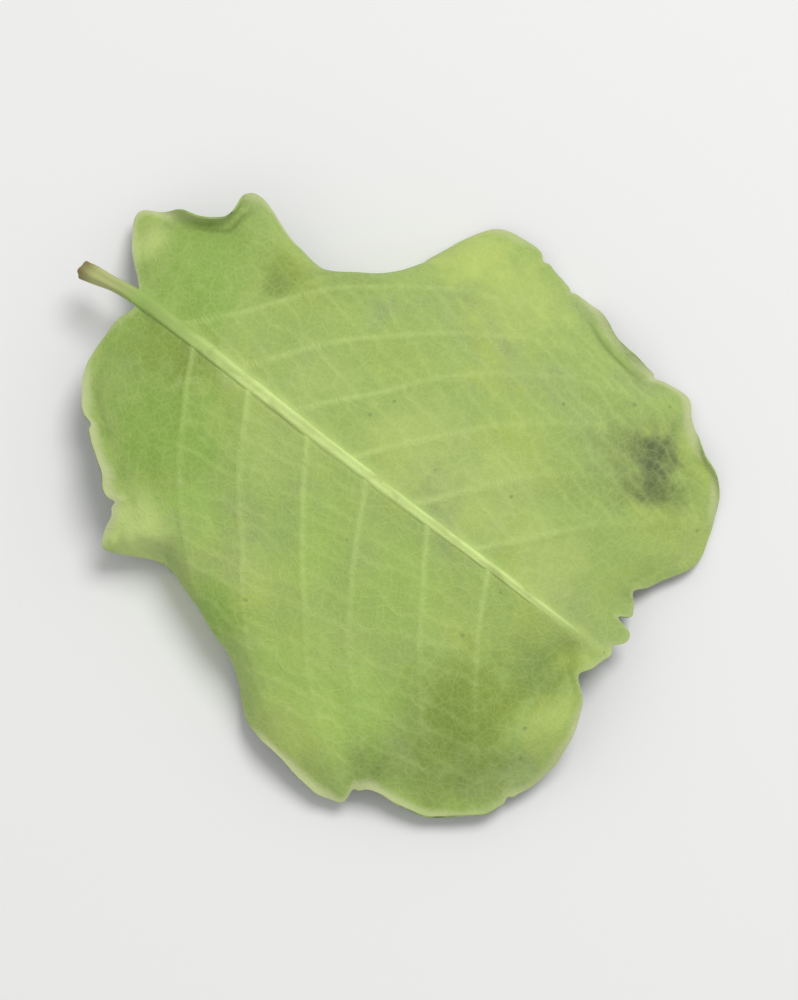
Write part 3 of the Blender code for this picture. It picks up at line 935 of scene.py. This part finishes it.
class MORINGA_OT_blade(Operator):
    """Model the blade with its veins, net, puckers and ragged margin"""

    bl_idname = "moringa.blade"
    bl_label = "Blade"

    def execute(self, context):
        settings = context.scene.moringa
        sizes, colours = settings.blade, settings.colours
        deselect_all()
        bpy.ops.mesh.primitive_grid_add(x_subdivisions=sizes.cells, y_subdivisions=sizes.cells, size=2.0)
        blade = context.object
        share, turn = disc_place(*mesh_points(blade)[:, :2].T)
        bearing = np.degrees(turn)
        reach = margin_value(bearing, REACH)
        ragged = ragged_reach(bearing)
        distance = share * reach + ragged * ease((share - RAGGED_FROM) / (1 - RAGGED_FROM))
        flat_x = distance * np.sin(turn)
        flat_y = -distance * np.cos(turn)
        from_margin = reach + ragged - distance
        inside = ease(from_margin / LEVEL_EDGE)

        side_veins = []
        cross = []
        for side in (-1, 1):
            veins = [side_vein(number, side) for number in range(VEIN_PAIRS)]
            side_veins += veins
            for number, (near, far) in enumerate(zip(veins, veins[1:])):
                cross += cross_veins(near, far, number + 10 * side)
        side_tree = vein_tree(side_veins, *VEIN_STRENGTH)
        cross_tree = vein_tree(cross, *CROSS_STRENGTH)
        side_line, side_gap = vein_lines(flat_x, flat_y, *side_tree, VEIN_WIDTH)
        cross_line = vein_lines(flat_x, flat_y, *cross_tree, CROSS_WIDTH)[0]
        rib = toward_tip(flat_y)
        from_midrib = np.abs(flat_x - midrib_x(flat_y))
        flank = MIDRIB_FLANKS[0] + (MIDRIB_FLANKS[1] - MIDRIB_FLANKS[0]) * rib
        midrib_line = np.exp(-((from_midrib / flank) ** 2)) * (1 - MIDRIB_FADE * rib)

        relief = sizes.midrib_relief * midrib_line + sizes.vein_relief * side_line * inside
        relief += sizes.cross_relief * cross_line * inside
        nearest = np.minimum(side_gap, from_midrib)
        relief -= sizes.pucker * (1 - np.exp(-((nearest / PUCKER_WIDTH) ** 2))) * inside
        relief += sizes.streak * streaks(flat_x, flat_y) * inside
        relief += crinkles(sizes, flat_x, flat_y)
        points = leaf_point(flat_x, flat_y) * MM + leaf_normal(flat_x, flat_y) * relief[:, None]
        set_mesh_points(blade, points)
        flat_uv(blade, flat_x, flat_y)
        point_attribute(blade, "vein", side_line * inside)
        least, over = MIDRIB_PALES
        point_attribute(blade, "midrib", midrib_line * (least + (1 - least) * ease(rib / over)))
        point_attribute(blade, "cross", cross_line * inside)
        point_attribute(blade, "pale", pale_edge(bearing, from_margin, flat_x, flat_y))
        # Where painted shade lies in the creases along the margin.
        point_attribute(blade, "crease_shade", crease_shade(bearing, from_margin))
        thin = blade.vertex_groups.new(name="thickness")
        weights = sizes.thin_edge + (1 - sizes.thin_edge) * ease(from_margin / THIN_EDGE)
        for vertex, weight in enumerate(weights):
            thin.add([vertex], weight, "REPLACE")

        recalculate_normals()
        if sum(face.normal.z for face in blade.data.polygons) < 0:
            blade.data.flip_normals()
        for maker in (underside_material, upper_material, rim_material):
            blade.data.materials.append(maker(colours))
        shell = blade.modifiers.new("thickness", "SOLIDIFY")
        shell.thickness = sizes.thickness
        shell.vertex_group = thin.name
        shell.offset = 0.0
        shell.material_offset = 1
        shell.material_offset_rim = 2
        bpy.ops.object.modifier_apply(modifier=shell.name)
        blade.vertex_groups.clear()
        bpy.ops.object.shade_smooth_by_angle(angle=SMOOTH_UP_TO)
        finish_piece(blade, "blade")
        return {"FINISHED"}


class MORINGA_OT_stalk(Operator):
    """Model the midrib, running out past the blade's base as the stalk"""

    bl_idname = "moringa.stalk"
    bl_label = "Midrib and stalk"

    def execute(self, context):
        settings = context.scene.moringa
        sizes, blade_sizes, colours = settings.stalk, settings.blade, settings.colours
        deselect_all()
        bpy.ops.mesh.primitive_grid_add(x_subdivisions=sizes.sides, y_subdivisions=sizes.steps, size=2.0)
        stalk = context.object
        across, up_along = mesh_points(stalk)[:, :2].T
        turn = math.pi * across
        run = (up_along + 1) / 2

        stalk_length = sizes.length / MM
        whole = stalk_length + MIDRIB_START_Y - MIDRIB_END_Y
        out = np.clip((stalk_length - run * whole) / stalk_length, 0.0, 1.0)
        flat_y = np.minimum(MIDRIB_START_Y, MIDRIB_START_Y + stalk_length - run * whole)
        flat_x = midrib_x(flat_y)
        centre = leaf_point(flat_x, flat_y)
        normal = leaf_normal(flat_x, flat_y)
        rib = toward_tip(flat_y)
        lift = blade_sizes.midrib_relief * (1 - MIDRIB_FADE * rib) + blade_sizes.thickness / 2
        lift *= 1 - rib**RIB_SINK_POWER
        lift += crinkles(blade_sizes, flat_x, flat_y) * (1 - out)
        centre += normal * (lift / MM)[:, None]
        centre[:, 0] -= out * sizes.turn / MM
        centre[:, 1] += out * stalk_length
        centre[:, 2] -= out**2 * sizes.drop / MM

        round_stalk = ease(out / STALK_JOIN)
        radius = sizes.rib_radius + (sizes.tip_radius - sizes.rib_radius) * rib**RIB_TAPER
        radius *= np.sqrt(np.clip((1 - rib) / RIB_POINT, RIB_POINT_LEAST, 1.0))
        radius += (sizes.radius - sizes.rib_radius) * round_stalk
        swelling = ease((out - STALK_SWELL_FROM) / (1 - STALK_SWELL_FROM))
        radius += (sizes.end_radius - sizes.radius) * swelling
        sway, waves = FURROW_TWIST
        furrow = 0.5 + 0.5 * np.cos(FURROWS * turn + sway * np.sin(run * waves))
        radius *= 1 - (FURROW_DEPTHS[0] * round_stalk + FURROW_DEPTHS[1]) * furrow
        radius *= 1 + bumps(np.cos(turn) + run * whole, np.sin(turn), STALK_BUMPS)

        side = np.tile((1.0, 0.0, 0.0), (len(run), 1))
        side -= normal * normal[:, :1]
        side /= np.linalg.norm(side, axis=1)[:, None]
        low = 1 - ease(out / RIB_ROUND_FROM)
        up = (radius * (1 - RIB_FLATNESS * low) * (np.cos(turn) - RIB_SUNK * low))[:, None] * normal
        set_mesh_points(stalk, centre * MM + up + (radius * np.sin(turn))[:, None] * side)
        flat_uv(stalk, flat_x + STALK_UV_WRAP * np.sin(turn), flat_y + out * stalk_length)
        point_attribute(stalk, "out", out)
        point_attribute(stalk, "rib", rib)
        point_attribute(stalk, "furrow", furrow)

        bpy.ops.object.mode_set(mode="EDIT")
        bpy.ops.mesh.select_all(action="SELECT")
        bpy.ops.mesh.remove_doubles(threshold=MERGE_GAP)
        bpy.ops.mesh.select_all(action="DESELECT")
        bpy.ops.mesh.select_non_manifold(extend=False)
        bpy.ops.mesh.fill_holes(sides=0)
        bpy.ops.object.mode_set(mode="OBJECT")
        recalculate_normals()
        bpy.ops.object.shade_smooth_by_angle(angle=SMOOTH_UP_TO)
        finish_piece(stalk, "midrib_and_stalk", stalk_material(colours))
        return {"FINISHED"}


def leaf_pieces():
    return [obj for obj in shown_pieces() if obj.get("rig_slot") == SLOT]


class MORINGA_OT_set_down(Operator):
    """Set the leaf down on the ground, in the middle of the solid model's box"""

    bl_idname = "moringa.set_down"
    bl_label = "Set down"

    def execute(self, context):
        clouds = {piece: mesh_points(piece) for piece in leaf_pieces()}
        points = np.concatenate(list(clouds.values()))
        bearing = bearing_of(points[:, 0], points[:, 1])
        feet = [points[np.abs(turned_from(bearing, foot)) < FOOT_WINDOW] for foot in FEET]
        plane = np.zeros(3)
        for _ in range(PLANE_ROUNDS):
            lows = np.array([near[(near[:, 2] - near[:, :2] @ plane[:2]).argmin()] for near in feet])
            plane = np.linalg.solve(np.column_stack([lows[:, :2], np.ones(len(FEET))]), lows[:, 2])
        level = points[:, 2] - points[:, :2] @ plane[:2] - plane[2]
        middle = (points.min(axis=0) + points.max(axis=0)) / 2
        goal = (CAD_BOX[0] + CAD_BOX[1]) / 2
        for piece, cloud in clouds.items():
            cloud[:, 2] -= cloud[:, :2] @ plane[:2] + plane[2] + level.min()
            cloud[:, :2] += np.array(goal[:2]) - middle[:2]
            set_mesh_points(piece, cloud)
        return {"FINISHED"}


def area_light(name, place, size, watts):
    """A soft round light that shines on the middle of the leaf."""
    bpy.ops.object.light_add(type="AREA", location=place)
    light = bpy.context.object
    light.name = name
    light.data.shape = "DISK"
    light.data.size = size
    light.data.energy = watts
    light.rotation_euler = place.to_track_quat("Z", "Y").to_euler()


class MORINGA_OT_stage(Operator):
    """Set the floor, the soft lights and the camera"""

    bl_idname = "moringa.stage"
    bl_label = "Stage"

    def execute(self, context):
        stage = context.scene.moringa.stage
        deselect_all()
        bpy.ops.mesh.primitive_plane_add(size=FLOOR_SIZE)
        floor = context.object
        floor.name = "floor"
        material, tree, shader = new_material("pale_floor")
        set_inputs(tree, shader, {"Base Color": stage.floor, "Roughness": 0.8, "Specular IOR Level": 0.2})
        floor.data.materials.append(material)
        floor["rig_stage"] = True

        azimuth, level = stage.azimuth, math.cos(stage.elevation)
        back = Vector((math.sin(azimuth) * level, -math.cos(azimuth) * level, math.sin(stage.elevation)))
        right = Vector((math.cos(azimuth), math.sin(azimuth), 0.0))
        up = back.cross(right)
        corners = np.concatenate([mesh_points(piece) for piece in leaf_pieces()])
        across = corners @ np.array(right)
        upward = corners @ np.array(up)
        centre = right * ((across.min() + across.max()) / 2) + up * ((upward.min() + upward.max()) / 2)
        width = (across.max() - across.min()) / stage.fill
        bpy.ops.object.camera_add()
        camera = context.object
        camera.name = "camera"
        camera.data.lens = stage.lens
        half_across = camera.data.sensor_width / 2 / stage.lens * PICTURE[0] / PICTURE[1]
        camera.location = centre + back * (width / 2 / half_across)
        camera.rotation_euler = back.to_track_quat("Z", "Y").to_euler()
        camera.data.clip_start, camera.data.clip_end = CAMERA_CLIP
        context.scene.camera = camera

        for (name, place, size), watts in zip(LIGHTS, (stage.key_power, stage.fill_power)):
            area_light(name, up * place[0] + right * place[1] + back * place[2], size, watts)
        world = bpy.data.worlds.new("studio")
        world.use_nodes = True
        background = world.node_tree.nodes["Background"]
        set_inputs(world.node_tree, background, {"Color": (1.0, 1.0, 1.0), "Strength": stage.sky})
        context.scene.world = world
        context.scene.view_settings.view_transform = "Standard"
        return {"FINISHED"}


class MORINGA_PT_panel(Panel):
    """Lists the leaf's sizes, colours and steps"""

    bl_idname = "MORINGA_PT_panel"
    bl_label = "Moringa leaf"
    bl_space_type = "VIEW_3D"
    bl_region_type = "UI"
    bl_category = "Moringa leaf"

    def draw(self, context):
        settings = context.scene.moringa
        for name in ("blade", "stalk", "colours", "stage"):
            box = self.layout.box()
            box.label(text=name.capitalize())
            group = getattr(settings, name)
            for key in group.bl_rna.properties.keys():
                if key not in ("rna_type", "name"):
                    box.prop(group, key)
        for operator in OPERATORS:
            self.layout.operator(operator.bl_idname)


OPERATORS = (MORINGA_OT_blade, MORINGA_OT_stalk, MORINGA_OT_set_down, MORINGA_OT_stage)
GROUPS = (MORINGA_PG_blade, MORINGA_PG_stalk, MORINGA_PG_colours, MORINGA_PG_stage, MORINGA_PG_settings)
CLASSES = (*GROUPS, *OPERATORS, MORINGA_PT_panel)


def register():
    for each in CLASSES:
        bpy.utils.register_class(each)
    bpy.types.Scene.moringa = settings_of(MORINGA_PG_settings, "Moringa leaf")


def unregister():
    del bpy.types.Scene.moringa
    for each in reversed(CLASSES):
        bpy.utils.unregister_class(each)


def main():
    register()
    for make_group in (mottle_group, net_group, spot_group, dots_group, grain_group):
        make_group()
    bpy.ops.moringa.blade()
    bpy.ops.moringa.stalk()
    bpy.ops.moringa.set_down()
    bpy.ops.moringa.stage()


if __name__ == "__main__":
    main()
